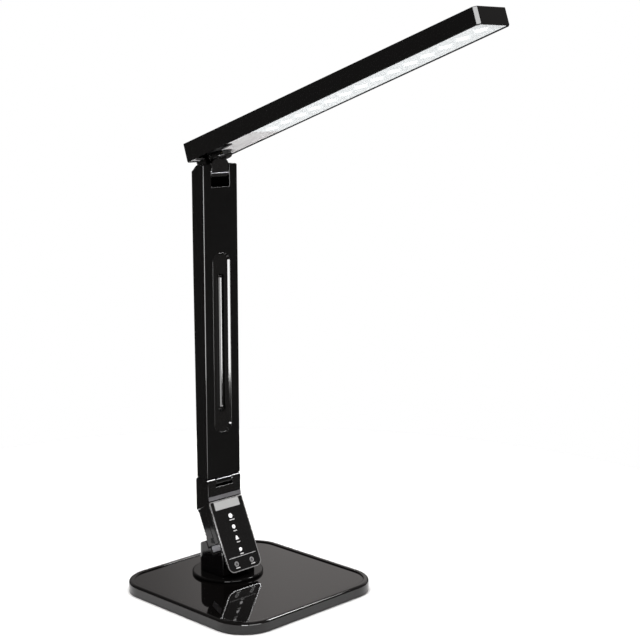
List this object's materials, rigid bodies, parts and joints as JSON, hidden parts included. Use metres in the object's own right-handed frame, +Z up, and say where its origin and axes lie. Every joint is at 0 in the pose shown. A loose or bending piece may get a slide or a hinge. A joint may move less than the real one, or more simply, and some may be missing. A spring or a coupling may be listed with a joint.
{
  "type": "desk lamp",
  "caption": "Folding desk lamp with a square foot, a turning stem with a touch panel, a flat upright arm and a long light bar that tilts and turns.",
  "frame": {"origin": "middle of the foot's underside, on the face of the anti-slip pad that the lamp stands on", "axes": "+Z up; -Y to the front, where the touch panel faces and the light bar reaches; +X completes the right-handed frame, across the lamp, which is mirror-symmetric about x = 0"},
  "size_m": [0.18, 0.3699, 0.5305],
  "materials": {
    "foot_gloss": "high gloss",
    "disc_gloss": "high gloss",
    "turret_gloss": "gloss",
    "stem_gloss": "gloss",
    "arm_gloss": "satin gloss",
    "head_gloss": "satin gloss",
    "knuckle_gloss": "gloss",
    "dark_plastic": "matt",
    "pad_rubber": "matt",
    "cable_rubber": "matt",
    "ballast_steel": "rolled",
    "bright_steel": "turned",
    "black_steel": "blackened",
    "bronze": "rolled",
    "nylon": "matt",
    "neck_silver": "satin",
    "board_green": "lacquered",
    "board_white": "lacquered",
    "panel_black": "gloss",
    "bezel_chrome": "polished",
    "panel_face": "polished",
    "display_grey": "polished",
    "underside_grey": "fine satin",
    "diffuser_white": "opal",
    "reflector_white": "matt",
    "led_yellow": "phosphor"
  },
  "bodies": {
    "foot": {"base_cover": "foot_gloss", "base_floor": "dark_plastic", "ballast_plate": "ballast_steel", "anti_slip_pad": "pad_rubber", "base_screws": "bright_steel", "power_inlet": "dark_plastic", "glide_ring": "nylon"},
    "stem": {"swivel_disc": "disc_gloss", "swivel_spindle": "bright_steel", "swivel_washer": "bronze", "swivel_nut": "bright_steel", "turret_housing": "turret_gloss", "turret_screws": "bright_steel", "stem_neck": "neck_silver", "stem_housing": "stem_gloss", "stem_rear_cover": "stem_gloss", "stem_screws": "black_steel", "control_board": "board_green", "panel_tray": "panel_black", "panel_bezel": "bezel_chrome", "panel_glass": "panel_face", "display_window": "display_grey", "arm_pin": "bright_steel", "arm_friction_washers": "bright_steel"},
    "arm": {"arm_front_shell": "arm_gloss", "arm_rear_cover": "arm_gloss", "arm_screws": "black_steel", "arm_cable": "cable_rubber", "tilt_pin": "bright_steel", "tilt_friction_washers": "bright_steel"},
    "knuckle": {"head_knuckle": "knuckle_gloss", "turning_bolt": "bright_steel", "turning_nut": "bright_steel"},
    "head": {"head_shell": "head_gloss", "head_rear_cover": "underside_grey", "light_diffuser": "diffuser_white", "reflector": "reflector_white", "led_board": "board_white", "leds": "led_yellow", "swivel_mount": "dark_plastic", "spring_washer": "bright_steel", "head_screws": "bright_steel"}
  },
  "joints": [
    {"name": "base_swivel", "type": "hinge", "parent": "foot", "child": "stem", "pos_m": [0, 0.03, 0.0103], "axis": [0, 0, 1], "range_deg": [-90, 90]},
    {"name": "arm_fold", "type": "hinge", "parent": "stem", "child": "arm", "pos_m": [0, 0.03819, 0.09958], "axis": [1, 0, 0], "range_deg": [0, 90]},
    {"name": "head_tilt", "type": "hinge", "parent": "arm", "child": "knuckle", "pos_m": [0, 0.03919, 0.39198], "axis": [1, 0, 0], "range_deg": [-25, 100]},
    {"name": "head_swivel", "type": "hinge", "parent": "knuckle", "child": "head", "pos_m": [0, 0.03484, 0.40922], "axis": [0, 0.3239, 0.9461], "range_deg": [-90, 90]}
  ]
}
